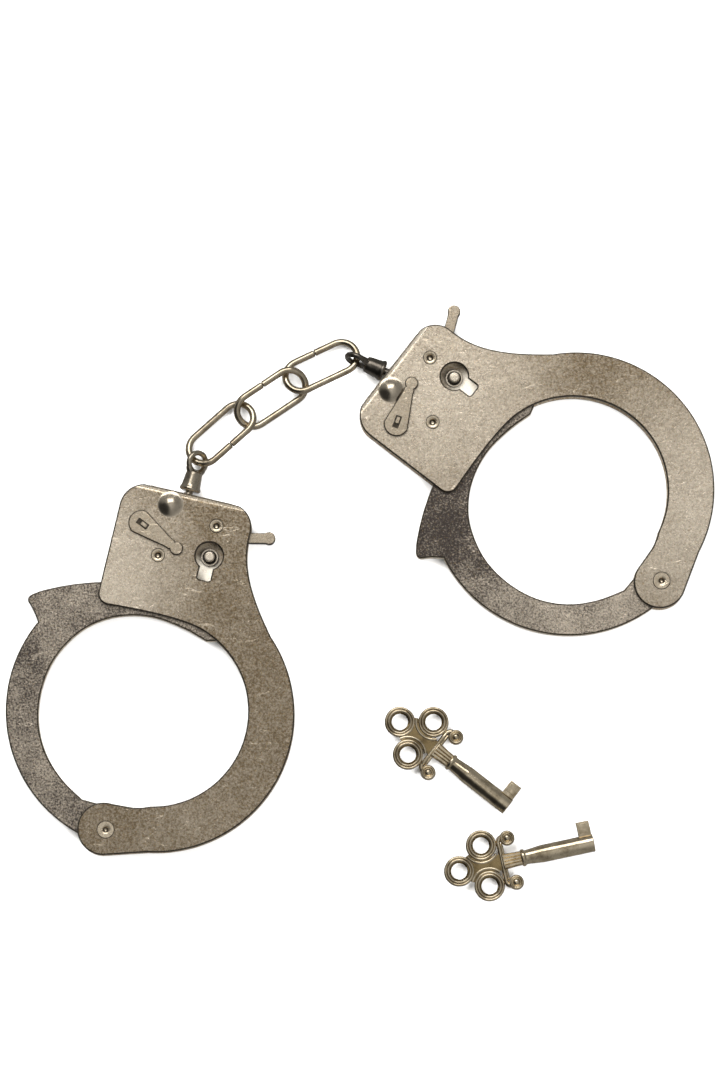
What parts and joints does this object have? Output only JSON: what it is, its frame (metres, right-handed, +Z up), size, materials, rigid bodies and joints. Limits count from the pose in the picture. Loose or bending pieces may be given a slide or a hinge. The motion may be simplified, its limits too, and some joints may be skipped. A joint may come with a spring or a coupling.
{
  "type": "handcuffs",
  "caption": "Chain-linked handcuffs with folded-plate cuffs, swing-through ratchet jaws, double-lock and release levers, swivels, and bow-ended keys beside them.",
  "frame": {"origin": "middle of the whole set, on the surface it lies on", "axes": "+Z up from the surface, +X along the set's longest side from the first cuff to the second, +Y towards the chain"},
  "size_m": [0.1922, 0.1624, 0.0072],
  "materials": {
    "cuff_plate": "nickel-plated sheet steel, fine brushed satin",
    "jaw_steel": "nickel-plated plate with darker sheared edges",
    "rivet_steel": "nickel-plated turned steel",
    "lever_steel": "nickel-plated stamping, satin",
    "works_steel": "plain stamped steel",
    "swivel_steel": "dark bright plating",
    "chain_steel": "bright nickel plating",
    "key_metal": "nickel plating with a brassy tint"
  },
  "bodies": {
    "cuff_a": {"frame_a": "cuff_plate", "pivot_rivet_a": "rivet_steel", "upper_rivet_a": "rivet_steel", "lower_rivet_a": "rivet_steel", "key_post_a": "rivet_steel", "pawl_spring_a": "works_steel"},
    "jaw_a": {"jaw_a": "jaw_steel"},
    "pawl_a": {"pawl_a": "works_steel"},
    "release_lever_a": {"release_lever_a": "lever_steel"},
    "double_lock_a": {"double_lock_lever_a": "lever_steel", "double_lock_cam_a": "works_steel"},
    "swivel_a": {"swivel_a": "swivel_steel"},
    "cuff_b": {"frame_b": "cuff_plate", "pivot_rivet_b": "rivet_steel", "upper_rivet_b": "rivet_steel", "lower_rivet_b": "rivet_steel", "key_post_b": "rivet_steel", "pawl_spring_b": "works_steel"},
    "jaw_b": {"jaw_b": "jaw_steel"},
    "pawl_b": {"pawl_b": "works_steel"},
    "release_lever_b": {"release_lever_b": "lever_steel"},
    "double_lock_b": {"double_lock_lever_b": "lever_steel", "double_lock_cam_b": "works_steel"},
    "swivel_b": {"swivel_b": "swivel_steel"},
    "link_1": {"chain_link_1": "chain_steel"},
    "link_2": {"chain_link_2": "chain_steel"},
    "link_3": {"chain_link_3": "chain_steel"},
    "key_1": {"key_1": "key_metal"},
    "key_2": {"key_2": "key_metal"}
  },
  "joints": [
    {"name": "jaw_swing_a", "type": "hinge", "parent": "cuff_a", "child": "jaw_a", "pos_m": [-0.06883, -0.06215, 0.003], "axis": [0, 0, 1], "continuous": true},
    {"name": "pawl_rock_a", "type": "hinge", "parent": "cuff_a", "child": "pawl_a", "pos_m": [-0.05507, 0.01227, 0.003], "axis": [0, 0, 1], "range_deg": [-1, 10.4]},
    {"name": "release_lever_turn_a", "type": "hinge", "parent": "cuff_a", "child": "release_lever_a", "pos_m": [-0.03922, 0.02027, 0.003], "axis": [0, 0, 1], "range_deg": [0, 10]},
    {"name": "double_lock_turn_a", "type": "hinge", "parent": "cuff_a", "child": "double_lock_a", "pos_m": [-0.05959, 0.02104, 0.003], "axis": [0, 0, 1], "range_deg": [0, 40]},
    {"name": "jaw_swing_b", "type": "hinge", "parent": "cuff_b", "child": "jaw_b", "pos_m": [0.08157, 0.00535, 0.003], "axis": [0, 0, 1], "continuous": true},
    {"name": "pawl_rock_b", "type": "hinge", "parent": "cuff_b", "child": "pawl_b", "pos_m": [0.01956, 0.04873, 0.003], "axis": [0, 0, 1], "range_deg": [-1, 10.4]},
    {"name": "release_lever_turn_b", "type": "hinge", "parent": "cuff_b", "child": "release_lever_b", "pos_m": [0.01885, 0.06646, 0.003], "axis": [0, 0, 1], "range_deg": [-10, 0]},
    {"name": "double_lock_turn_b", "type": "hinge", "parent": "cuff_b", "child": "double_lock_b", "pos_m": [0.00971, 0.04826, 0.003], "axis": [0, 0, 1], "range_deg": [-40, 0]},
    {"name": "swivel_spin_a", "type": "hinge", "parent": "cuff_a", "child": "swivel_a", "pos_m": [-0.04455, 0.03794, 0.003], "axis": [0.2622, 0.965, 0], "continuous": true},
    {"name": "link_1_swing", "type": "hinge", "parent": "swivel_a", "child": "link_1", "pos_m": [-0.04326, 0.03956, 0.0029], "axis": [0, 0, 1], "range_deg": [-17, 45]},
    {"name": "link_2_swing", "type": "hinge", "parent": "link_1", "child": "link_2", "pos_m": [-0.0313, 0.05087, 0.00259], "axis": [0, 0, -1], "range_deg": [-31, 18]},
    {"name": "link_3_swing", "type": "hinge", "parent": "link_2", "child": "link_3", "pos_m": [-0.01764, 0.06012, 0.00264], "axis": [0, 0, 1], "range_deg": [-20, 31]},
    {"name": "swivel_b_swing", "type": "hinge", "parent": "link_3", "child": "swivel_b", "pos_m": [-0.00308, 0.06585, 0.00345], "axis": [0, 0, -1], "range_deg": [-38, 25]},
    {"name": "swivel_spin_b", "type": "hinge", "parent": "swivel_b", "child": "cuff_b", "pos_m": [-0.00115, 0.06618, 0.00366], "axis": [-0.9203, 0.385, 0.0698], "continuous": true},
    {"name": "key_1_lift", "type": "slide", "parent": "cuff_a", "child": "key_1", "axis": [0, 0, 1], "range_m": [0, 0.06]},
    {"name": "key_2_lift", "type": "slide", "parent": "cuff_a", "child": "key_2", "axis": [0, 0, 1], "range_m": [0, 0.06]}
  ]
}
